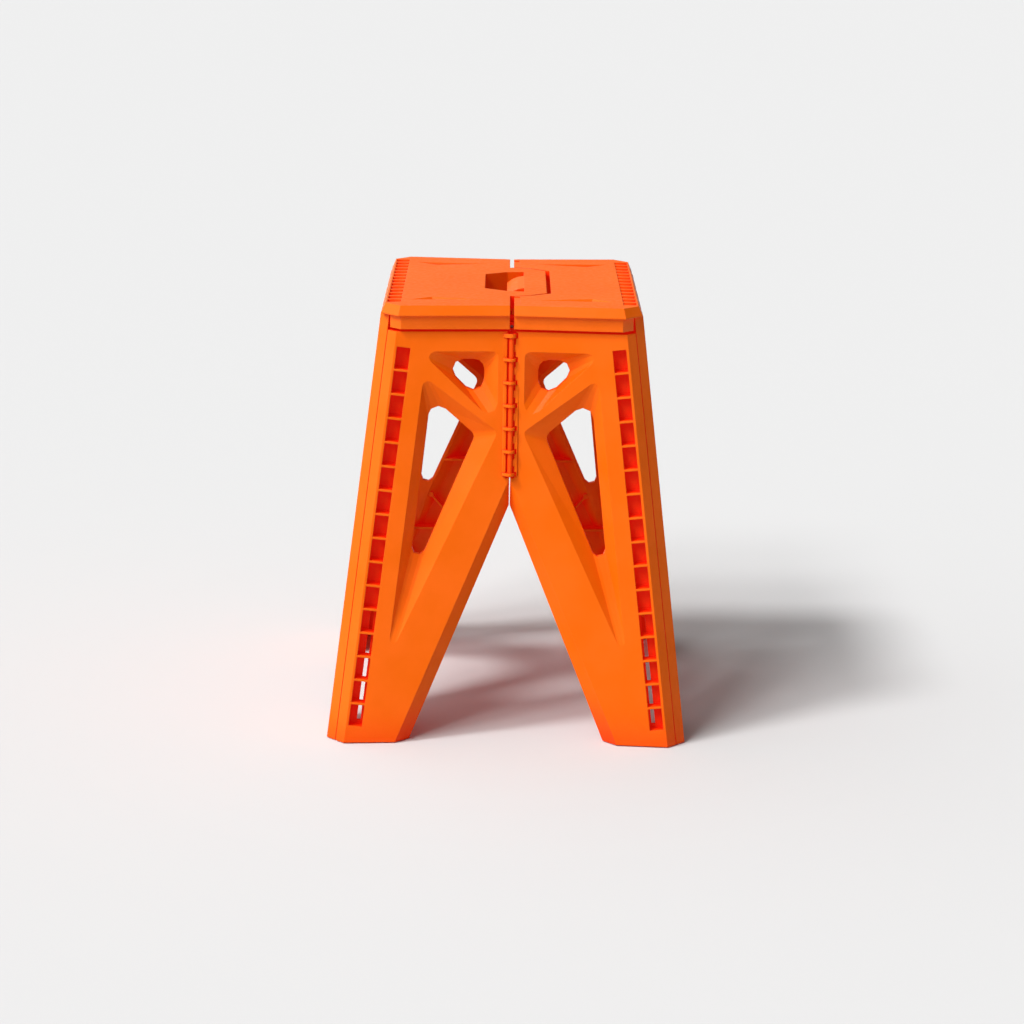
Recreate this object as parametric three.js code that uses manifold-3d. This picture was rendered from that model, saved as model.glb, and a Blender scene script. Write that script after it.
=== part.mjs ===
// Folding step stool: two end panels, four folding half panels and a seat in two halves.
// Millimetres, +Z up, origin on the floor under the middle of the seat, front towards -Y.
// Lifting the middle of the seat raises its halves, folds the front and rear half panels
// inwards and draws the two end panels together.
import * as THREE from 'three';
import { ConvexGeometry } from 'three/addons/geometries/ConvexGeometry.js';
import { mergeVertices } from 'three/addons/utils/BufferGeometryUtils.js';
import Module from 'manifold-3d';

const wasm = await Module();
wasm.setup();

// ---------- driving dimensions ----------
const SEAT_Z = 388; // top of the seat
const BASE_X = 160; // half the width across the feet
const BASE_Y = 172.5; // half the depth across the feet
const LEAN = Math.tan(THREE.MathUtils.degToRad(6.8)); // inward lean of every panel, mm per mm of height
const CHAMFER = 16; // corner chamfer, measured along X and along Y
const RECESS = Math.tan(THREE.MathUtils.degToRad(4.55)); // slope of the half panels, in towards the middle
const DEPTH = 16; // depth of a panel, outer face to inner edge
const SKIN = 3; // thickness of the moulded skin
const WALL = 2.6; // thickness of side walls
const FOOT_Z = 1; // the shells stop here, the pads carry on to the floor
const PANEL_Z = 364.5; // top of the half panels
const MITRE_GAP = 0.4; // half the joint between a half panel and an end panel

// corner hinges: an axis just inside the inner edge of each mitre
const PIN_INSET = 1.5; // axis to inner face
const PIN_R = 2;
const BORE_R = 2.2;
const KNUCKLE_R = 4.5;
const SCOOP_R = 5.1; // clearance round a neighbour's knuckle
const CORNER_HINGES = [44, 186, 328]; // heights of the three knuckle groups
const KNUCKLE_HALF = 8;
const FORK_LENGTH = 9;
const GAP = 0.4;

// every panel hinge axis on one face runs to an apex above the stool
const APEX_Z = (BASE_X - DEPTH - PIN_INSET) / LEAN;
const APEX_Y = -(BASE_Y - BASE_X);

// centre hinges of the front and of the rear
const CENTRE_SLOPE = 0.13084; // lean of the centre axis
const CENTRE_PIN_R = 2.2;
const STRAP_HEIGHTS = [240, 260, 280, 300, 320, 340];
const STRAP_THICKNESS = 2.4;
const STRAP_R = 4.2;
const CAP_Z = 361;
const CAP_HEIGHT = 3.4;
const STRAP_CLEARANCE = 1.6; // between a strap and the notch that it turns in
const HINGE_BOTTOM = 236;
const CENTRE_GAP = 0.45; // half the gap between two half panels
const CHANNEL_HALF = 3.8; // half width of the channel that the pin lies in
const RIM_HALF = 7.3; // half width over the raised rims beside it

// seat
const SEAT_GAP = 1.9; // half the gap between the seat halves
const LIP_Z = 379; // underside of the rim that rests on the end panels
const SEAT_BOTTOM = 367;
const RIB_X = 110.6; // outer edge of the seat's flat top
const LIP_X = 114;
const BAND_X = 106.2; // outer end of the seat's lower band
const SEAT_EDGE_Y = 132; // edge of the flat top at the corners
const SEAT_CORNER = 13.6; // plan chamfer of the flat top
const SEAT_PIN_X = 112.74; // hinge between an end panel and a seat half
const SEAT_PIN_Z = 376.2;
const SEAT_PIN_R = 1.2;
const SEAT_KNUCKLE_R = 2.4;
const SEAT_KNUCKLES = [-80, -27, 27, 80];
const SEAT_KNUCKLE_HALF = 8;
const TOP_AXIS_Z = 365.4; // hinge between the seat halves, along Y under the middle

// ---------- materials ----------
const orange = () => new THREE.MeshStandardMaterial({ color: 0xf4661b, roughness: 0.5, metalness: 0 });
const steel = () => new THREE.MeshStandardMaterial({ color: 0xb9bcc0, roughness: 0.35, metalness: 1 });
const rubber = () => new THREE.MeshStandardMaterial({ color: 0xd8541a, roughness: 0.85, metalness: 0 });

// ---------- solids ----------
function solid(geometry) {
  const bare = geometry.clone();
  bare.deleteAttribute('normal');
  bare.deleteAttribute('uv');
  const merged = mergeVertices(bare, 1e-4);
  return new wasm.Manifold(new wasm.Mesh({
    numProp: 3,
    vertProperties: new Float32Array(merged.attributes.position.array),
    triVerts: new Uint32Array(merged.index.array),
  }));
}

function toGeometry(body) {
  const mesh = body.getMesh();
  const geometry = new THREE.BufferGeometry();
  geometry.setAttribute('position', new THREE.BufferAttribute(new Float32Array(mesh.vertProperties), 3));
  geometry.setIndex(new THREE.BufferAttribute(new Uint32Array(mesh.triVerts), 1));
  return geometry;
}

const union = (first, ...rest) => rest.reduce((sum, part) => sum.add(part), first);
const cut = (first, ...tools) => tools.reduce((sum, tool) => sum.subtract(tool), first);

// an outline in x and z, extruded from y = d0 back to y = d1
function elevation(points, d0, d1) {
  const shape = new THREE.Shape(points.map(([x, z]) => new THREE.Vector2(x, z)));
  const geometry = new THREE.ExtrudeGeometry(shape, { depth: d1 - d0, bevelEnabled: false });
  geometry.translate(0, 0, -d1);
  return geometry.rotateX(Math.PI / 2);
}

// an outline in x and y, extruded from z0 up to z1
function plan(points, z0, z1) {
  const shape = new THREE.Shape(points.map(([x, y]) => new THREE.Vector2(x, y)));
  const geometry = new THREE.ExtrudeGeometry(shape, { depth: z1 - z0, bevelEnabled: false });
  return geometry.translate(0, 0, z0);
}

function box(x0, x1, y0, y1, z0, z1) {
  const geometry = new THREE.BoxGeometry(x1 - x0, y1 - y0, z1 - z0);
  return geometry.translate((x0 + x1) / 2, (y0 + y1) / 2, (z0 + z1) / 2);
}

const hull = (points) => new ConvexGeometry(points.map(([x, y, z]) => new THREE.Vector3(x, y, z)));

// the hull of one outline at depth d0 and another at depth d1, both in x and z
const loft = (outer, d0, inner, d1) => hull([
  ...outer.map(([x, z]) => [x, d0, z]),
  ...inner.map(([x, z]) => [x, d1, z]),
]);

function rod(from, to, radius, sides = 12) {
  const axis = new THREE.Vector3().subVectors(to, from);
  const geometry = new THREE.CylinderGeometry(radius, radius, axis.length(), sides);
  geometry.applyQuaternion(new THREE.Quaternion().setFromUnitVectors(
    new THREE.Vector3(0, 1, 0),
    axis.normalize(),
  ));
  return geometry.translate(...new THREE.Vector3().addVectors(from, to).multiplyScalar(0.5).toArray());
}

// a convex polygon with its corners rounded to the given radii
function rounded(corners, radii, steps = 3) {
  const points = [];
  corners.forEach((corner, i) => {
    const here = new THREE.Vector2(...corner);
    const back = new THREE.Vector2(...corners.at(i - 1)).sub(here).normalize();
    const ahead = new THREE.Vector2(...corners[(i + 1) % corners.length]).sub(here).normalize();
    const half = Math.acos(back.dot(ahead)) / 2;
    const middle = back.clone().add(ahead).normalize().multiplyScalar(radii[i] / Math.sin(half)).add(here);
    const start = here.clone().addScaledVector(back, radii[i] / Math.tan(half)).sub(middle);
    const turn = Math.PI - 2 * half;
    const sign = Math.sign(back.cross(ahead)) || 1;
    for (let step = 0; step <= steps; step += 1) {
      const p = start.clone().rotateAround(new THREE.Vector2(), -sign * turn * (step / steps)).add(middle);
      points.push([p.x, p.y]);
    }
  });
  return points;
}

// grow a convex outline outwards by a distance from its middle
function grown(points, distance) {
  const middle = new THREE.Vector2();
  points.forEach(([x, z]) => middle.add(new THREE.Vector2(x, z)));
  middle.divideScalar(points.length);
  return points.map(([x, z]) => {
    const p = new THREE.Vector2(x, z);
    const out = p.clone().sub(middle).normalize();
    return p.addScaledVector(out, distance).toArray();
  });
}

// mirror images keep their faces pointing out
function mirrored(geometry, axis) {
  const copy = geometry.clone();
  copy.scale(axis === 'x' ? -1 : 1, axis === 'y' ? -1 : 1, 1);
  const index = copy.index.array;
  for (let i = 0; i < index.length; i += 3) {
    [index[i], index[i + 1]] = [index[i + 1], index[i]];
  }
  return copy;
}

const halfTurn = (geometry) => geometry.clone().rotateZ(Math.PI);

// ---------- axes ----------
// a point near the left front corner: X to the right and Y to the rear of the edge where
// the front face meets the corner chamfer, which itself leans with height
const corner = (x, y, z) => new THREE.Vector3(-BASE_X + CHAMFER + LEAN * z + x, -BASE_Y + LEAN * z + y, z);
const cornerAxis = (z) => corner(PIN_INSET, DEPTH + PIN_INSET, z);
const centreAxis = (z) => new THREE.Vector3(0, APEX_Y - (APEX_Z - z) * CENTRE_SLOPE, z);
const seatAxis = (y) => new THREE.Vector3(-SEAT_PIN_X, y, SEAT_PIN_Z);
const topAxis = (y) => new THREE.Vector3(0, y, TOP_AXIS_Z);

function cornerPrism(outline, z0, z1) {
  const points = [z0, z1].flatMap((z) => outline.map(([x, y]) => corner(x, y, z).toArray()));
  return solid(hull(points));
}

// the same plan shape seen from the end panel: reflected in the mitre
const acrossMitre = (outline) => outline.map(([x, y]) => [y - CHAMFER, x + CHAMFER]);

// ---------- half panels ----------
const FACE_Y = -BASE_Y + (BASE_X - CHAMFER) * RECESS; // where the face would meet x = 0, z = 0
const faceY = (x, z) => FACE_Y + RECESS * x + LEAN * (1 - RECESS) * z;

// panel drawings are made in x, depth and z, then laid on the sloping face
const FACE_PLACE = new THREE.Matrix4().set(
  1, 0, 0, 0,
  RECESS, 1, LEAN * (1 - RECESS), FACE_Y,
  0, 0, 1, 0,
  0, 0, 0, 1,
);

const edgeX = (z) => -BASE_X + CHAMFER + LEAN * z; // face to chamfer edge
const legFaceX = (z) => -99.1 + 0.42 * z; // inner edge of the leg on the face
const legBackX = (z) => -86.9 + 0.4144 * z; // and at the back of its sloping side
const SPLIT_Z = 209.7; // where the legs of two half panels meet

const UPPER_POCKET = rounded([[-79.6, 347], [-11.6, 347], [-11.6, 282.5]], [5, 5, 8]);
const UPPER_HOLE = rounded([[-64.7, 338.7], [-23.7, 338.7], [-23.7, 297.7]], [9.3, 9, 9.5]);
const LOWER_POCKET = rounded([[-76.6, 325.5], [-11, 276.5], [-106.4, 73]], [5, 5, 3.3]);
const LOWER_HOLE = rounded([[-70.9, 307], [-30.6, 271.9], [-89.9, 133.9]], [9.5, 7, 5.8]);
const POCKET_DEPTH = 10;

const LADDER_IN = 2.1; // strip of square windows along the outer edge
const LADDER_OUT = 14.2;
const LADDER_PITCH = 21.05;
const LADDER_WEB = 1.9;
const LADDER_FIRST = 16.5;
const LADDER_COUNT = 16;
const LADDER_DEPTH = 11; // behind this the windows are closed, but for one slit at the foot
const SLIT_WINDOWS = 5; // windows that the slit runs behind
const SLIT_IN = 8.7;
const SLIT_OUT = 12;

function panelBlock() {
  const mitre = MITRE_GAP * Math.SQRT1_2;
  const section = [
    [0, 0],
    [-CHAMFER / 2 + mitre, CHAMFER / 2 - mitre],
    [MITRE_GAP * Math.SQRT2, DEPTH],
  ];
  const points = [FOOT_Z, PANEL_Z].flatMap((z) => [
    ...section.map(([x, d]) => [edgeX(z) + x, d, z]),
    [1, 0, z],
    [1, DEPTH, z],
  ]);
  const outline = elevation([
    [edgeX(0) - 12, FOOT_Z],
    [legBackX(FOOT_Z), FOOT_Z],
    [-CENTRE_GAP, SPLIT_Z],
    [-CENTRE_GAP, PANEL_Z],
    [edgeX(PANEL_Z) - 12, PANEL_Z],
  ], -1, DEPTH + 1);
  const legSide = loft(
    [[legFaceX(-5), -5], [0, 236], [40, 236], [40, -5]],
    -0.01,
    [[legBackX(-5), -5], [0, SPLIT_Z], [40, SPLIT_Z], [40, -5]],
    DEPTH - 5,
  );
  return cut(solid(hull(points)).intersect(solid(outline)), solid(legSide));
}

const RIB = 2.2; // thickness of the ribs inside
const RIB_HEIGHTS = [54, 116, 188]; // level ribs, across the leg
const BRACE_HEIGHTS = [[14, 52], [58, 113], [121, 183]]; // sloping ribs, between the level ones
const BOSS_R = 2.6;

// a sloping rib in each cell of the leg, from high on the outside to low on the inside, with a
// boss in its middle; the outlines come in the half panel's x and z
function braces(place) {
  return BRACE_HEIGHTS.flatMap(([z0, z1]) => {
    const [x0, x1] = [legFaceX(z0) - 2, edgeX(z1) + LADDER_OUT + 6];
    const outline = [[x1 - RIB / 2, z1], [x0 - RIB / 2, z0], [x0 + RIB / 2, z0], [x1 + RIB / 2, z1]];
    const boss = Array.from({ length: 12 }, (_, i) => [
      (x0 + x1) / 2 + BOSS_R * Math.cos((i * Math.PI) / 6),
      (z0 + z1) / 2 + BOSS_R * Math.sin((i * Math.PI) / 6),
    ]);
    return [
      solid(elevation(place(outline), SKIN - 0.5, DEPTH - 3)),
      solid(elevation(place(boss), SKIN - 0.5, DEPTH - 2)),
    ];
  });
}

// hollow behind the skin, left open at the back; pockets and ribs stay
function panelHollows() {
  const inner = LADDER_OUT + 2.2;
  const back = DEPTH + 1;
  const legCell = (z0, z1) => solid(loft(
    [[edgeX(z0) + inner, z0], [edgeX(z1) + inner, z1], [legFaceX(z1) - 1, z1], [legFaceX(z0) - 1, z0]],
    SKIN,
    [[edgeX(z0) + inner, z0], [edgeX(z1) + inner, z1], [legBackX(z1) - 4, z1], [legBackX(z0) - 4, z0]],
    back,
  ));
  const low = RIB_HEIGHTS.at(-1) + RIB;
  const upper = solid(elevation([
    [edgeX(low) + inner, low],
    [legFaceX(low) - 1, low],
    [-9.9, 226],
    [-9.9, PANEL_Z - SKIN],
    [edgeX(PANEL_Z - SKIN) + inner, PANEL_Z - SKIN],
  ], SKIN, back));
  const tubs = [
    solid(loft(grown(UPPER_POCKET, WALL), SKIN - 0.5, grown(UPPER_HOLE, WALL), back + 1)),
    solid(loft(grown(LOWER_POCKET, WALL), SKIN - 0.5, grown(LOWER_HOLE, WALL), back + 1)),
  ];
  const cells = RIB_HEIGHTS.map((z, i) => legCell(i ? RIB_HEIGHTS[i - 1] + RIB : 12, z));
  return cut(union(...cells, upper), ...tubs, ...braces((outline) => outline));
}

function pocketCuts() {
  const upper = solid(loft(UPPER_POCKET, -0.01, UPPER_HOLE, POCKET_DEPTH));
  const lower = solid(loft(LOWER_POCKET, -0.01, LOWER_HOLE, POCKET_DEPTH));
  const upperHole = solid(elevation(UPPER_HOLE, POCKET_DEPTH - 0.5, DEPTH + 2));
  const lowerHole = solid(elevation(LOWER_HOLE, POCKET_DEPTH - 0.5, DEPTH + 2));
  return [upper, lower, upperHole, lowerHole];
}

function ladderCuts() {
  const cuts = [];
  const tilt = LEAN * (LADDER_OUT - LADDER_IN); // the webs stand square to the slanting edge
  for (let i = 0; i < LADDER_COUNT; i += 1) {
    const z0 = LADDER_FIRST + i * LADDER_PITCH;
    const z1 = z0 + LADDER_PITCH - LADDER_WEB;
    cuts.push(solid(elevation([
      [edgeX(z0) + LADDER_IN, z0],
      [edgeX(z0 - tilt) + LADDER_OUT, z0 - tilt],
      [edgeX(z1 - tilt) + LADDER_OUT, z1 - tilt],
      [edgeX(z1) + LADDER_IN, z1],
    ], -1, LADDER_DEPTH)));
  }
  const low = LADDER_FIRST + 1;
  const high = LADDER_FIRST + SLIT_WINDOWS * LADDER_PITCH - LADDER_WEB;
  cuts.push(solid(elevation([
    [edgeX(low) + SLIT_IN, low],
    [edgeX(low) + SLIT_OUT, low],
    [edgeX(high) + SLIT_OUT, high],
    [edgeX(high) + SLIT_IN, high],
  ], LADDER_DEPTH - 0.5, DEPTH + 1)));
  return cuts;
}

// pads are let into the foot of each leg
const PAD_TOP = 3.6;
const padOutline = (grow) => [
  [edgeX(0) + 6 - grow, 3.5 - grow],
  [legFaceX(0) - 4 + grow, 3.5 - grow],
  [legFaceX(0) + 2 + grow, DEPTH - 3 + grow],
  [edgeX(0) + 6 - grow, DEPTH - 3 + grow],
];

// raised rims and straps of the centre hinge
function centreRim() {
  const points = [HINGE_BOTTOM + 2, PANEL_Z - 3].flatMap((z) => {
    const front = centreAxis(z).y + 0.4;
    return [
      [-CHANNEL_HALF, front, z],
      [-RIM_HALF + 1.2, front, z],
      [-RIM_HALF, Math.max(front, faceY(-RIM_HALF, z) - 0.05) + 0.6, z],
      [-RIM_HALF, faceY(-RIM_HALF, z) + 5, z],
      [-CHANNEL_HALF, faceY(-CHANNEL_HALF, z) + 5, z],
    ];
  });
  return solid(hull(points));
}

function channelCut(side) {
  const points = [HINGE_BOTTOM, PANEL_Z + 2].flatMap((z) => [
    [-CHANNEL_HALF * side, centreAxis(z).y - 12, z],
    [-CHANNEL_HALF * side, centreAxis(z).y + CENTRE_PIN_R + 2.6, z],
    [4 * side, centreAxis(z).y - 12, z],
    [4 * side, centreAxis(z).y + CENTRE_PIN_R + 2.6, z],
  ]);
  return solid(hull(points));
}

const CENTRE_SPAN = [HINGE_BOTTOM + 1.5, PANEL_Z - 2];
const centreRod = (z0, z1, radius, sides) => solid(rod(centreAxis(z0), centreAxis(z1), radius, sides));

// a strap lies over the rim and wraps the pin
function strap(z, thickness) {
  const points = [z - thickness / 2, z + thickness / 2].flatMap((height) => {
    const { y } = centreAxis(height);
    const round = Array.from({ length: 14 }, (_, i) => {
      const angle = (i / 14) * 2 * Math.PI;
      return [STRAP_R * Math.cos(angle), y + STRAP_R * Math.sin(angle), height];
    });
    return [...round, [-RIM_HALF + 0.3, y - 0.8, height], [-RIM_HALF + 0.3, y + 4, height]];
  });
  return solid(hull(points));
}

// a cradle reaches behind the pin from the other side
function cradle(z) {
  const back = CENTRE_PIN_R + 2;
  return solid(hull([z - 3, z + 3].flatMap((height) => {
    const { y } = centreAxis(height);
    return [[-CHANNEL_HALF - 0.6, y + 0.2], [-CHANNEL_HALF - 0.6, y + back], [2, y + back], [2, y + 1]]
      .map(([x, depth]) => [x, depth, height]);
  })));
}

// shell of the left front half panel, before its hinges
function panelShell() {
  const bare = cut(panelBlock(), panelHollows(), ...pocketCuts(), ...ladderCuts(),
    solid(plan(padOutline(0.35), FOOT_Z - 1, PAD_TOP + 0.35)));
  return solid(toGeometry(bare).applyMatrix4(FACE_PLACE));
}

const shell = panelShell();
const cornerRod = (z0, z1, radius, sides = 12) => solid(rod(cornerAxis(z0), cornerAxis(z1), radius, sides));
const CORNER_SPAN = [CORNER_HINGES[0] - 18, CORNER_HINGES[2] + 18];
const PANEL_KNUCKLE_WEB = [[-1.5, 13.8], [6, 12], [6, 17.5], [1.5, 17.5]];

function cornerKnuckle(web, z0, z1) {
  return union(cornerRod(z0, z1, KNUCKLE_R), cornerPrism(web, z0, z1));
}

function withCornerHinges(body) {
  let result = body;
  for (const z of CORNER_HINGES) {
    const low = z - KNUCKLE_HALF;
    const high = z + KNUCKLE_HALF;
    result = result.add(cornerKnuckle(PANEL_KNUCKLE_WEB, low, high));
    result = cut(result,
      cornerRod(low - GAP - FORK_LENGTH - GAP, low - GAP / 2, SCOOP_R),
      cornerRod(high + GAP / 2, high + GAP + FORK_LENGTH + GAP, SCOOP_R));
  }
  return result.subtract(cornerRod(CORNER_SPAN[0] - 1, CORNER_SPAN[1] + 1, BORE_R));
}

// the strap side of a centre hinge, for a panel on the left
function strapPanel(boreRadius) {
  const straps = STRAP_HEIGHTS.map((z) => strap(z, STRAP_THICKNESS));
  const body = union(cut(withCornerHinges(shell).add(centreRim()), channelCut(1)), ...straps,
    strap(CAP_Z, CAP_HEIGHT));
  return body.subtract(centreRod(CENTRE_SPAN[0] - 3, CENTRE_SPAN[1] + 3, boreRadius, 12));
}

// the other side carries the pin in cradles halfway between the straps
function cradlePanel() {
  let body = cut(withCornerHinges(shell).add(centreRim()), channelCut(1));
  const straps = [...STRAP_HEIGHTS.map((z) => [z, STRAP_THICKNESS]), [CAP_Z, CAP_HEIGHT]];
  for (const [z, thickness] of straps) {
    const half = thickness / 2 + 0.9;
    body = body.subtract(centreRod(z - half, z + half, STRAP_R + STRAP_CLEARANCE, 12));
  }
  body = union(body, ...STRAP_HEIGHTS.map((z) => cradle(z + 10)));
  return body.subtract(centreRod(CENTRE_SPAN[0] - 3, CENTRE_SPAN[1] + 3, CENTRE_PIN_R + 0.2, 12));
}

// ---------- end panels ----------
// drawn in x (towards the front), depth and z, then laid on the left side
const END_PLACE = new THREE.Matrix4().set(
  0, 1, LEAN, -BASE_X,
  -1, 0, 0, 0,
  0, 0, 1, 0,
  0, 0, 0, 1,
);
const endEdge = (z) => BASE_Y - CHAMFER - LEAN * z; // half length of the flat face
const END_SHIFT = endEdge(0) - (BASE_X - CHAMFER); // end panels are longer than half panels by this
const END_Z = 365; // top of the deep part
const FLANGE_Z = 378.6; // top of the flange that the seat rests on
const FLANGE_DEPTH = 8;
const ARCH_TOP = 200;

const shifted = (points) => points.map(([x, z]) => [x - END_SHIFT, z]);
const flipped = (points) => points.map(([x, z]) => [-x, z]).reverse();

function endBlock() {
  const mitre = MITRE_GAP * Math.SQRT1_2;
  const half = CHAMFER / 2 - mitre;
  const blunt = MITRE_GAP * Math.SQRT2;
  const block = hull([FOOT_Z, FLANGE_Z].flatMap((z) => {
    const w = endEdge(z);
    const ring = [[w, 0], [w + half, half], [w - blunt, DEPTH]];
    return ring.flatMap(([x, d]) => [[-x, d, z], [x, d, z]]);
  }));
  const shelf = box(-BASE_Y, BASE_Y, FLANGE_DEPTH, DEPTH + 1, END_Z, FLANGE_Z + 1);
  const legX = (z) => legFaceX(z) - END_SHIFT;
  const arch = (inset) => [
    [legX(-5) + inset, -5],
    [legX(ARCH_TOP) + inset, ARCH_TOP - inset],
    [-legX(ARCH_TOP) - inset, ARCH_TOP - inset],
    [-legX(-5) - inset, -5],
  ];
  const archSide = loft(arch(0), -0.01, arch(8), DEPTH - 5);
  const archBack = elevation(arch(8), DEPTH - 5.5, DEPTH + 1);
  return cut(solid(block), solid(shelf), solid(archSide), solid(archBack));
}

function endHollows() {
  const back = DEPTH + 1;
  const inset = 7;
  const legX = (z) => legFaceX(z) - END_SHIFT;
  const outX = (z) => -endEdge(z) + inset;
  const cells = [];
  for (const [z0, z1] of RIB_HEIGHTS.map((z, i) => [i ? RIB_HEIGHTS[i - 1] + RIB : 12, z])) {
    const outline = [[outX(z0), z0], [outX(z1), z1], [legX(z1) - 1, z1], [legX(z0) - 1, z0]];
    cells.push(outline, flipped(outline));
  }
  const low = RIB_HEIGHTS.at(-1) + RIB;
  const upper = [
    [outX(low), low],
    [legX(low) - 1, low],
    [legX(ARCH_TOP) - 1, ARCH_TOP + SKIN],
    [-1.3, ARCH_TOP + SKIN],
    [-1.3, END_Z - SKIN - 1],
    [outX(END_Z - SKIN - 1), END_Z - SKIN - 1],
  ];
  cells.push(upper, flipped(upper));
  const hollows = union(...cells.map((outline) => solid(elevation(outline, SKIN, back))));
  const tubs = [[UPPER_POCKET, UPPER_HOLE], [LOWER_POCKET, LOWER_HOLE]].flatMap(([pocket, hole]) => {
    const tub = [grown(shifted(pocket), WALL), grown(shifted(hole), WALL)];
    return [tub, tub.map(flipped)];
  });
  return cut(hollows,
    ...tubs.map(([outer, inner]) => solid(loft(outer, SKIN - 0.5, inner, back + 1))),
    ...braces(shifted),
    ...braces((outline) => flipped(shifted(outline))));
}

function endPockets() {
  return [[UPPER_POCKET, UPPER_HOLE], [LOWER_POCKET, LOWER_HOLE]].flatMap(([pocket, hole]) => {
    const sides = [[shifted(pocket), shifted(hole)], [flipped(shifted(pocket)), flipped(shifted(hole))]];
    return sides.flatMap(([outer, inner]) => [
      solid(loft(outer, -0.01, inner, POCKET_DEPTH)),
      solid(elevation(inner, POCKET_DEPTH - 0.5, DEPTH + 2)),
    ]);
  });
}

const endPad = (grow) => [
  [-endEdge(0) + 6 - grow, 3.5 - grow],
  [legFaceX(0) - END_SHIFT - 4 + grow, 3.5 - grow],
  [legFaceX(0) - END_SHIFT - 2 + grow, DEPTH - 3 + grow],
  [-endEdge(0) + 6 - grow, DEPTH - 3 + grow],
];

// the flange's outer top edge is rounded about the seat hinge and notched for its knuckles
function seatHingeCuts() {
  const span = 130;
  const arc = [90, 112, 135, 158, 180].map((degrees) => {
    const angle = THREE.MathUtils.degToRad(degrees);
    const radius = degrees === 180 ? SEAT_KNUCKLE_R + 0.3 : 2.6;
    return [-SEAT_PIN_X + radius * Math.cos(angle), SEAT_PIN_Z + radius * Math.sin(angle)];
  });
  const nose = elevation([...arc, [-SEAT_PIN_X - 6, SEAT_PIN_Z], [-SEAT_PIN_X - 6, SEAT_PIN_Z + 6],
    [-SEAT_PIN_X, SEAT_PIN_Z + 6]].reverse(), -span, span);
  const notches = SEAT_KNUCKLES.map((y) => solid(box(-BASE_X + 30, -BAND_X + 3,
    y - SEAT_KNUCKLE_HALF - GAP, y + SEAT_KNUCKLE_HALF + GAP, SEAT_PIN_Z - 3.4, SEAT_Z)));
  const reach = SEAT_KNUCKLES.at(-1) + SEAT_KNUCKLE_HALF + 8;
  return [solid(nose), ...notches, solid(rod(seatAxis(-reach), seatAxis(reach), SEAT_PIN_R + 0.12, 12))];
}

const SEAT_PIN_REACH = SEAT_KNUCKLES.at(-1) + SEAT_KNUCKLE_HALF + 7;

function endPanel() {
  const pads = plan(endPad(0.35), FOOT_Z - 1, PAD_TOP + 0.35);
  const drawn = cut(endBlock(), endHollows(), ...endPockets(), solid(pads),
    solid(plan(endPad(0.35).map(([x, d]) => [-x, d]).reverse(), FOOT_Z - 1, PAD_TOP + 0.35)));
  let body = solid(toGeometry(drawn).applyMatrix4(END_PLACE));
  body = cut(body, ...seatHingeCuts());
  const web = acrossMitre(PANEL_KNUCKLE_WEB);
  const hinges = [];
  const scoops = [];
  for (const z of CORNER_HINGES) {
    const low = z - KNUCKLE_HALF - GAP;
    const high = z + KNUCKLE_HALF + GAP;
    hinges.push(cornerKnuckle(web, low - FORK_LENGTH, low), cornerKnuckle(web, high, high + FORK_LENGTH));
    scoops.push(cornerRod(low - GAP / 2, high + GAP / 2, SCOOP_R));
  }
  scoops.push(cornerRod(CORNER_SPAN[0] - 1, CORNER_SPAN[1] + 1, BORE_R));
  const toRear = (parts) => parts.map((part) => solid(mirrored(toGeometry(part), 'y')));
  body = union(body, ...hinges, ...toRear(hinges));
  return cut(body, ...scoops, ...toRear(scoops));
}

// ---------- seat ----------
const edgeY = (x, offset = 0) => SEAT_EDGE_Y - (RIB_X - SEAT_CORNER - Math.abs(x)) * RECESS + offset;

// plan outline of a seat half at one level: outset from the flat top's edge, outer end at endX
function seatOutline(outset, endX, cornerSize) {
  const x1 = endX - cornerSize;
  const y0 = edgeY(SEAT_GAP, outset);
  const y1 = edgeY(x1, outset);
  const side = y1 - cornerSize;
  return [[-SEAT_GAP, -y0], [-SEAT_GAP, y0], [-x1, y1], [-endX, side], [-endX, -side], [-x1, -y1]];
}

const GRIP_HALF = 33; // half length of the bar that the hand holds
const GRIP_BOTTOM = 376.5;
// an outline in x and y with its other half, a mirror image across y = 0
const symmetric = (side) => [...side, ...side.map(([x, y]) => [x, -y]).reverse()];
const GRIP_TAB = symmetric([[-6, -76], [2, -76], [16, -71.5], [31, -59.5]]);
const GRIP_NOTCH = symmetric([[0, -77.8], [3, -77.8], [17.6, -73], [34.8, -60.5]]);
const SEAT_SKIN = 5.4;
const OPENING = symmetric([[-24.5, -38], [-4.5, -51], [10.8, -53]]);
const SLOT_COUNT = 14;
const SLOT_PITCH = 16.6;

function seatBlock() {
  const at = (outline, z) => outline.map(([x, y]) => [x, y, z]);
  const upper = hull([
    ...at(seatOutline(0, RIB_X, SEAT_CORNER), SEAT_Z),
    ...at(seatOutline(3, LIP_X, SEAT_CORNER + 1.5), LIP_Z + 1),
    ...at(seatOutline(3, LIP_X, SEAT_CORNER + 1.5), LIP_Z),
  ]);
  const lower = plan(seatOutline(0, BAND_X, 9.5).reverse(), SEAT_BOTTOM, LIP_Z + 1);
  return union(solid(upper), solid(lower));
}

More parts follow.
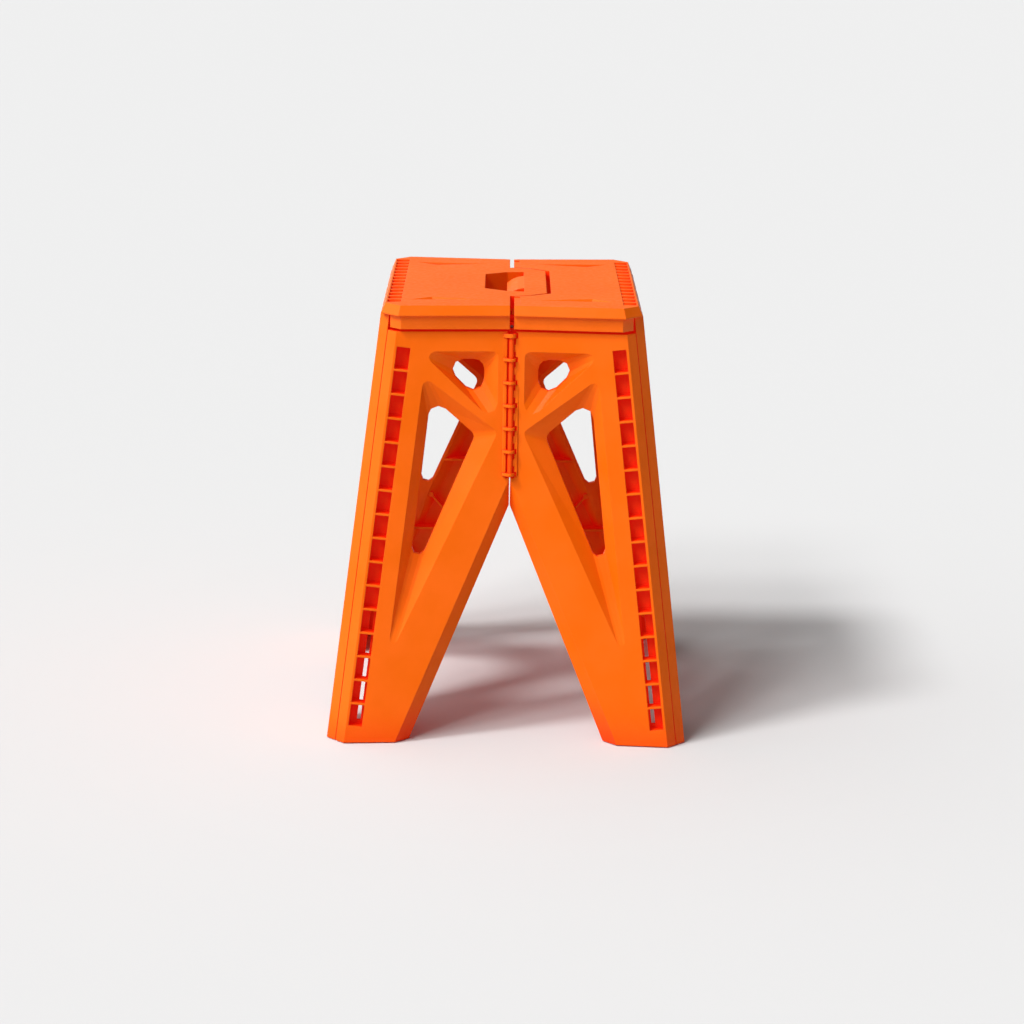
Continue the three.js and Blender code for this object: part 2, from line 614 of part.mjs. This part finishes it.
// cells open underneath, with ribs left between them
function seatCells() {
  const cells = [];
  const columns = [[-BAND_X + 9.5, -66], [-64, -27]];
  for (const [x0, x1] of columns) {
    cells.push([[x0, -61], [x1, -61], [x1, 61], [x0, 61]]);
    cells.push([[x0, 63], [x1, 63], [x1, edgeY(x1) - 3], [x0, edgeY(x0) - 3]]);
  }
  cells.push([[-25, 94], [-13, 94], [-13, edgeY(13) - 3], [-25, edgeY(25) - 3]]);
  cells.push([[-BAND_X + WALL, -112], [-BAND_X + 7.5, -112], [-BAND_X + 7.5, 112], [-BAND_X + WALL, 112]]);
  const rear = cells.slice(1).filter((cell) => cell[0][1] > 0);
  const front = rear.map((cell) => cell.map(([x, y]) => [x, -y]).reverse());
  return [...cells, ...front].map((cell) => {
    const top = cell[0][0] < -BAND_X + 9 ? SEAT_Z - 6.5 : SEAT_Z - SEAT_SKIN;
    return solid(plan(cell, SEAT_BOTTOM - 1, top));
  });
}

function gripSlots() {
  const slots = [];
  for (let i = 0; i < SLOT_COUNT; i += 1) {
    const y = (i - (SLOT_COUNT - 1) / 2) * SLOT_PITCH;
    slots.push(solid(hull([
      [-RIB_X + 1.2, y - 6.8, SEAT_Z + 1], [-RIB_X + 1.2, y + 6.8, SEAT_Z + 1],
      [-97.2, y - 6.8, SEAT_Z + 1], [-97.2, y + 6.8, SEAT_Z + 1],
      [-RIB_X + 1.8, y - 6.2, SEAT_Z - 3], [-RIB_X + 1.8, y + 6.2, SEAT_Z - 3],
      [-97.8, y - 6.2, SEAT_Z - 1.6], [-97.8, y + 6.2, SEAT_Z - 1.6],
    ])));
  }
  return slots;
}

const DISH_DEPTH = 3.8;

// a long slim dished triangle beside the front and the rear edge
function seatDishes() {
  const dish = [
    [-89.5, 101, SEAT_Z + 0.01], [-22, 97, SEAT_Z + 0.01], [-71, 86, SEAT_Z + 0.01],
    [-71, 98.5, SEAT_Z - DISH_DEPTH], [-70, 90, SEAT_Z - DISH_DEPTH],
  ];
  return [solid(hull(dish)), solid(hull(dish.map(([x, y, z]) => [x, -y, z])))];
}

const seatRod = (y0, y1, radius, sides = 12) => solid(rod(seatAxis(y0), seatAxis(y1), radius, sides));
const topRod = (y0, y1, radius, sides = 12) => solid(rod(topAxis(y0), topAxis(y1), radius, sides));

function seatHinge(body) {
  let result = body;
  for (const y of SEAT_KNUCKLES) {
    const ends = [y - SEAT_KNUCKLE_HALF, y + SEAT_KNUCKLE_HALF];
    const web = hull(ends.flatMap((end) => [
      [-SEAT_PIN_X, end, SEAT_PIN_Z - SEAT_KNUCKLE_R], [-SEAT_PIN_X - 1, end, LIP_Z + 0.5],
      [-BAND_X + 1, end, LIP_Z + 0.5], [-BAND_X + 1, end, SEAT_PIN_Z - SEAT_KNUCKLE_R],
    ]));
    result = union(result, solid(web), seatRod(ends[0], ends[1], SEAT_KNUCKLE_R));
  }
  return result.subtract(seatRod(-SEAT_PIN_REACH - 1, SEAT_PIN_REACH + 1, SEAT_PIN_R + 0.12));
}

// knuckles of the hinge between the halves: closed eyes on the left, wide ones on the right
const EYE_SPAN = [85.5, 96.5];
const FORK_SPANS = [[78.5, 85], [97, 103.5]];
const TOP_PIN_R = 1.5;
const EYE_BORE_R = 5.7;
const EYE_R = 7.5;
const FORK_R = 3.5;
const SLACK = 3.9; // how far the two halves' axes part during the fold

const onBothSides = (spans) => spans.flatMap(([y0, y1]) => [[y0, y1], [-y1, -y0]]);

function leftSeatHalf() {
  let body = cut(seatBlock(), ...seatCells(), ...gripSlots(), ...seatDishes());
  const tab = solid(plan(GRIP_TAB, GRIP_BOTTOM, SEAT_Z));
  const opening = solid(plan(OPENING, SEAT_BOTTOM - 1, SEAT_Z + 1));
  const bar = solid(elevation([[-4.5, GRIP_BOTTOM], [12, GRIP_BOTTOM], [12, SEAT_Z], [10, SEAT_Z - 0.4],
    [5, SEAT_Z - 1.4], [0, SEAT_Z - 3.6], [-4.5, SEAT_Z - 7]], -GRIP_HALF, GRIP_HALF));
  body = union(body.add(tab).subtract(opening), bar);
  for (const [y0, y1] of onBothSides([EYE_SPAN])) {
    body = body.subtract(topRod(y0 - GAP, y1 + GAP, EYE_R + SLACK, 16));
  }
  for (const [y0, y1] of onBothSides(FORK_SPANS)) {
    const web = hull([y0, y1].flatMap((y) => [[-FORK_R, y, TOP_AXIS_Z], [-11, y, SEAT_BOTTOM + 1],
      [-SEAT_GAP - 0.2, y, SEAT_BOTTOM + 1], [0, y, TOP_AXIS_Z - 2]]));
    body = union(body, solid(web), topRod(y0, y1, FORK_R));
  }
  for (const [y0, y1] of onBothSides([[FORK_SPANS[0][0] - 1, FORK_SPANS[1][1] + 1]])) {
    body = body.subtract(topRod(y0, y1, TOP_PIN_R + 0.12));
  }
  return seatHinge(body);
}

function rightSeatHalf() {
  const left = cut(seatBlock(), ...seatCells(), ...gripSlots(), ...seatDishes());
  let body = solid(mirrored(toGeometry(seatHinge(left)), 'x'));
  const recesses = onBothSides([[80, 116]])
    .map(([y0, y1]) => solid(box(0, 7, y0, y1, SEAT_Z - 0.8, SEAT_Z + 1)));
  body = cut(body, solid(plan(GRIP_NOTCH, SEAT_BOTTOM - 1, SEAT_Z + 1)), ...recesses);
  for (const [y0, y1] of onBothSides(FORK_SPANS)) {
    body = body.subtract(topRod(y0 - GAP, y1 + GAP, FORK_R + SLACK));
  }
  for (const [y0, y1] of onBothSides([EYE_SPAN])) {
    const web = hull([y0, y1].flatMap((y) => [[EYE_R - 0.6, y, TOP_AXIS_Z - 2],
      [12, y, SEAT_BOTTOM + 1], [3, y, SEAT_BOTTOM + 3]]));
    body = union(body, topRod(y0, y1, EYE_R, 20), solid(web));
    body = body.subtract(topRod(y0 - 1, y1 + 1, EYE_BORE_R, 20));
  }
  return body;
}

// ---------- assembly ----------
const stool = new THREE.Group();

function add(name, geometry, material) {
  const mesh = new THREE.Mesh(geometry, material);
  mesh.name = name;
  stool.add(mesh);
}

const end = toGeometry(endPanel());
const strapFront = toGeometry(strapPanel(CENTRE_PIN_R + 0.3));
const strapRear = toGeometry(strapPanel(CENTRE_PIN_R + 0.75));
const cradled = toGeometry(cradlePanel());
add('end_panel_left', end, orange());
add('end_panel_right', halfTurn(end), orange());
add('front_panel_left', strapFront, orange());
add('front_panel_right', mirrored(cradled, 'x'), orange());
add('rear_panel_left', mirrored(cradled, 'y'), orange());
add('rear_panel_right', halfTurn(strapRear), orange());
add('seat_half_left', toGeometry(leftSeatHalf()), orange());
add('seat_half_right', toGeometry(rightSeatHalf()), orange());

const centrePin = toGeometry(centreRod(...CENTRE_SPAN, CENTRE_PIN_R, 16));
add('front_centre_pin', centrePin, orange());
add('rear_centre_pin', halfTurn(centrePin), orange());

const cornerPin = toGeometry(cornerRod(...CORNER_SPAN, PIN_R, 12));
add('corner_pin_front_left', cornerPin, steel());
add('corner_pin_front_right', mirrored(cornerPin, 'x'), steel());
add('corner_pin_rear_left', mirrored(cornerPin, 'y'), steel());
add('corner_pin_rear_right', halfTurn(cornerPin), steel());

const seatPin = toGeometry(seatRod(-SEAT_PIN_REACH, SEAT_PIN_REACH, SEAT_PIN_R));
add('seat_pin_left', seatPin, steel());
add('seat_pin_right', mirrored(seatPin, 'x'), steel());
const topPin = toGeometry(topRod(FORK_SPANS[0][0], FORK_SPANS[1][1], TOP_PIN_R));
add('top_pin_rear', topPin, steel());
add('top_pin_front', mirrored(topPin, 'y'), steel());

const panelPad = plan(padOutline(0), 0, PAD_TOP).applyMatrix4(FACE_PLACE);
const panelPadSolid = toGeometry(solid(panelPad));
const endPadFront = toGeometry(solid(plan(endPad(0), 0, PAD_TOP).applyMatrix4(END_PLACE)));
add('pad_front_left', panelPadSolid, rubber());
add('pad_front_right', mirrored(panelPadSolid, 'x'), rubber());
add('pad_rear_left', mirrored(panelPadSolid, 'y'), rubber());
add('pad_rear_right', halfTurn(panelPadSolid), rubber());
add('pad_end_left_rear', endPadFront, rubber());
add('pad_end_left_front', mirrored(endPadFront, 'y'), rubber());
add('pad_end_right_front', halfTurn(endPadFront), rubber());
add('pad_end_right_rear', mirrored(halfTurn(endPadFront), 'y'), rubber());

export default stool;
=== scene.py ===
"""Folding step stool: materials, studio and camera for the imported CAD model.

Everything is in metres. Each CAD node keeps its own shape. Its procedural material rounds the edges,
as a moulding's are, and gives it its plastic, steel or rubber.
"""
import math

import bpy
from mathutils import Matrix, Vector

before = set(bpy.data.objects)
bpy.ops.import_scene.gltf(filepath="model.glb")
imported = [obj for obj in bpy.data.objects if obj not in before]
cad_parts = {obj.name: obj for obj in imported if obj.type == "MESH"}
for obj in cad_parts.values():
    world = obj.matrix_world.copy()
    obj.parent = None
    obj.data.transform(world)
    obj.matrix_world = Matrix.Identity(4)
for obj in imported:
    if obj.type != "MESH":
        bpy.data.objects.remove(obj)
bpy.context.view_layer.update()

# ---------- camera ----------
CAMERA_PLACE = Vector((-0.0075, -2.530, 0.821))
CAMERA_PITCH = math.radians(14.42)  # below the horizon
CAMERA_YAW = math.radians(0.24)  # to the right of +Y
CAMERA_ROLL = math.radians(0.89)  # level lines drop to the right
LENS_MM = 98.4375
SENSOR_MM = 36.0
CLIP = (0.05, 200)

# ---------- light ----------
SKY_BRIGHT = Vector((-1.0, 0.05, 0.30)).normalized()  # the sky's bright side
SKY_SPREAD = (-0.2, 1.0)  # cosine to SKY_BRIGHT where the sky is faintest, and where it is strongest
SKY_STRENGTH = (0.11, 1.26)
# a wide soft box, as suns side by side: where each comes from, and its strength
KEY = (((-0.70, -0.34, 1.0), 2.20), ((-0.68, -0.68, 1.0), 0.90), ((-0.66, -1.10, 1.0), 0.70))
KEY_ANGLE = math.radians(11)
FLOOR_GREY = 0.60
FLOOR_RADIUS = 60
FLOOR_SIDES = 64

# ---------- surfaces ----------
EDGE_RADIUS = 0.0008
EDGE_TURN = (0.99, 0.80)  # cosine between flat and rounded normal where an edge starts, and is full
HOLLOW_REACH = 0.08  # how far off a wall may stand and still make a place a hollow
HOLLOW_OPENNESS = (0.20, 0.84)  # wholly hollow at or below the first, not at all above the second
SHADER_SAMPLES = 4  # rays for the rounded normal and for the openness
NOISE_MIDDLE = (0.3, 0.7)  # the part of a noise that its ramp stretches
DRIFT, GLOSS_DRIFT, GRAIN = (22, 3), (240, 4), (2600, 2)  # scale and detail of each noise
BUMP_STRENGTH = 0.3
ORANGE = (0.80, 0.118, 0.0)
# painted shade: a darker red laid on hollows where shade falls, not the plastic's own colour
PAINTED_SHADE_RED = (0.64, 0.006, 0.0)
PAINTED_GLOW_COLOUR = (1.0, 0.012, 0.002)  # painted glow: the colour of emission that stands in for daylight come through the plastic
# strength of the painted glow that hollows emit
PAINTED_GLOW = 0.20


def make_camera():
    pitch, yaw, roll = CAMERA_PITCH, CAMERA_YAW, CAMERA_ROLL
    ahead = Vector((math.sin(yaw) * math.cos(pitch), math.cos(yaw) * math.cos(pitch), -math.sin(pitch)))
    right = Vector((math.cos(yaw), -math.sin(yaw), 0))
    up = right.cross(ahead)
    right, up = (math.cos(roll) * right + math.sin(roll) * up,
                 math.cos(roll) * up - math.sin(roll) * right)
    data = bpy.data.cameras.new("camera")
    data.lens, data.sensor_width = LENS_MM, SENSOR_MM
    data.clip_start, data.clip_end = CLIP
    camera = bpy.data.objects.new("camera", data)
    bpy.context.scene.collection.objects.link(camera)
    turn = Matrix((right, up, -ahead)).transposed()
    camera.matrix_world = Matrix.Translation(CAMERA_PLACE) @ turn.to_4x4()
    bpy.context.scene.camera = camera


def add_ramp(tree, value, span, result):
    """A smooth step that takes the two values of span to the two of result."""
    node = tree.nodes.new("ShaderNodeMapRange")
    node.interpolation_type = "SMOOTHSTEP"
    for key, number in zip(("From Min", "From Max", "To Min", "To Max"), (*span, *result)):
        node.inputs[key].default_value = number
    tree.links.new(value, node.inputs["Value"])
    return node.outputs["Result"]


def add_noise(tree, place, scale, detail):
    node = tree.nodes.new("ShaderNodeTexNoise")
    node.inputs["Scale"].default_value = scale
    node.inputs["Detail"].default_value = detail
    tree.links.new(place, node.inputs["Vector"])
    return node.outputs["Fac"]


def add_mix(tree, factor, first, second):
    """Blend of two colours, each a tuple or a socket."""
    node = tree.nodes.new("ShaderNodeMix")
    node.data_type = "RGBA"
    tree.links.new(factor, node.inputs["Factor"])
    for name, colour in (("A", first), ("B", second)):
        socket = next(i for i in node.inputs if i.name == name and i.type == "RGBA")
        if isinstance(colour, tuple):
            socket.default_value = (*colour, 1)
        else:
            tree.links.new(colour, socket)
    return next(o for o in node.outputs if o.type == "RGBA")


def make_sky():
    world = bpy.data.worlds.new("studio")
    world.use_nodes = True
    tree = world.node_tree
    place = tree.nodes.new("ShaderNodeTexCoord")
    facing = tree.nodes.new("ShaderNodeVectorMath")
    facing.operation = "DOT_PRODUCT"
    facing.inputs[1].default_value = SKY_BRIGHT
    tree.links.new(place.outputs["Generated"], facing.inputs[0])
    sky = tree.nodes["Background"]
    sky.inputs["Color"].default_value = (1, 1, 1, 1)
    strength = add_ramp(tree, facing.outputs["Value"], SKY_SPREAD, SKY_STRENGTH)
    tree.links.new(strength, sky.inputs["Strength"])
    bpy.context.scene.world = world


def make_key():
    for i, (source, strength) in enumerate(KEY):
        data = bpy.data.lights.new(f"key_{i}", "SUN")
        data.energy, data.angle = strength, KEY_ANGLE
        key = bpy.data.objects.new(f"key_{i}", data)
        bpy.context.scene.collection.objects.link(key)
        key.rotation_mode = "QUATERNION"
        key.rotation_quaternion = Vector(source).to_track_quat("Z", "Y")


def make_floor():
    bpy.ops.mesh.primitive_circle_add(vertices=FLOOR_SIDES, radius=FLOOR_RADIUS, fill_type="NGON")
    floor = bpy.context.object
    floor.name = "floor"
    paper = bpy.data.materials.new("floor_paper")
    paper.use_nodes = True
    shader = paper.node_tree.nodes["Principled BSDF"]
    shader.inputs["Base Color"].default_value = (FLOOR_GREY, FLOOR_GREY, FLOOR_GREY, 1)
    shader.inputs["Roughness"].default_value = 1.0
    shader.inputs["Specular IOR Level"].default_value = 0.0
    floor.data.materials.append(paper)


def make_material(name, lit, shade_colour, roughness, specular=0.10, grain=0.00004, metallic=0.0, edge=0.0,
                  painted_glow_strength=0.0):
    """Lit colour that drifts a little, a darker red painted in hollows as painted shade, a paler
    painted highlight on rounded edges, fine grain.

    The last argument sets how strongly a hollow glows: a painted glow, emission that stands in for
    daylight that comes through its walls.
    """
    material = bpy.data.materials.new(name)
    material.use_nodes = True
    tree = material.node_tree
    nodes, links = tree.nodes, tree.links
    shader = nodes["Principled BSDF"]
    shader.inputs["Specular IOR Level"].default_value = specular
    shader.inputs["Metallic"].default_value = metallic
    place = nodes.new("ShaderNodeTexCoord").outputs["Object"]

    # an edge is where the rounded normal turns away from the flat one; a painted highlight is laid
    # along it
    rounded = nodes.new("ShaderNodeBevel")
    rounded.samples = SHADER_SAMPLES
    rounded.inputs["Radius"].default_value = EDGE_RADIUS
    across = nodes.new("ShaderNodeVectorMath")
    across.operation = "DOT_PRODUCT"
    links.new(rounded.outputs["Normal"], across.inputs[0])
    links.new(nodes.new("ShaderNodeNewGeometry").outputs["True Normal"], across.inputs[1])
    edge_highlight_amount = add_ramp(tree, across.outputs["Value"], EDGE_TURN, (0.0, edge))

    # painted shade: places that ambient occlusion finds hollow get a darker colour
    openness = nodes.new("ShaderNodeAmbientOcclusion")
    openness.samples = SHADER_SAMPLES
    openness.inputs["Distance"].default_value = HOLLOW_REACH
    hollow = add_ramp(tree, openness.outputs["AO"], HOLLOW_OPENNESS, (1.0, 0.0))

    paler = tuple(min(1, c * 1.06 + 0.004) for c in lit)
    # painted highlight: rounded edges get a paler colour that stands in for the sheen on them
    painted_edge_highlight = tuple(min(1, c * 1.1 + 0.06) for c in lit)
    drift = add_ramp(tree, add_noise(tree, place, *DRIFT), NOISE_MIDDLE, (0.0, 1.0))
    surface = add_mix(tree, drift, lit, paler)
    links.new(add_mix(tree, edge_highlight_amount, add_mix(tree, hollow, surface, shade_colour), painted_edge_highlight),
              shader.inputs["Base Color"])
    gloss = add_noise(tree, place, *GLOSS_DRIFT)
    links.new(add_ramp(tree, gloss, NOISE_MIDDLE, (roughness - 0.05, roughness + 0.07)),
              shader.inputs["Roughness"])

    bump = nodes.new("ShaderNodeBump")
    bump.inputs["Strength"].default_value = BUMP_STRENGTH
    bump.inputs["Distance"].default_value = grain
    links.new(add_noise(tree, place, *GRAIN), bump.inputs["Height"])
    links.new(rounded.outputs["Normal"], bump.inputs["Normal"])
    links.new(bump.outputs["Normal"], shader.inputs["Normal"])

    # painted glow: hollows emit a red light that stands in for daylight coming through the plastic
    shader.inputs["Emission Color"].default_value = (*PAINTED_GLOW_COLOUR, 1)
    links.new(add_ramp(tree, openness.outputs["AO"], HOLLOW_OPENNESS, (painted_glow_strength, 0.0)),
              shader.inputs["Emission Strength"])
    return material


def make_finishes():
    # each finish: its own colour, then the darker colour painted as shade in its hollows
    return {
        "panel": make_material("panel_plastic", ORANGE, PAINTED_SHADE_RED, 0.46, edge=0.2, painted_glow_strength=PAINTED_GLOW),
        "seat": make_material("seat_plastic", ORANGE, PAINTED_SHADE_RED, 0.42, specular=0.14, edge=0.2,
                              painted_glow_strength=PAINTED_GLOW),
        "plastic_pin": make_material("pin_plastic", (0.90, 0.07, 0.0), PAINTED_SHADE_RED, 0.38, edge=0.2),
        "steel_pin": make_material("pin_steel", (0.55, 0.56, 0.58), (0.2, 0.2, 0.2), 0.30,
                                   specular=0.5, grain=0.00001, metallic=1.0),
        "pad": make_material("foot_rubber", (0.30, 0.045, 0.008), (0.12, 0.01, 0.0), 0.80,
                             grain=0.0001),
    }


def finish_of(name):
    """Which finish a CAD node takes, told from its name."""
    if name.startswith("pad"):
        return "pad"
    if "pin" in name:
        return "plastic_pin" if "centre" in name else "steel_pin"
    return "seat" if name.startswith("seat") else "panel"


make_camera()
bpy.context.scene.view_settings.view_transform = "Standard"
make_sky()
make_key()
make_floor()
finishes = make_finishes()
for name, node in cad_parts.items():
    for slot in node.material_slots:
        slot.material = finishes[finish_of(name)]
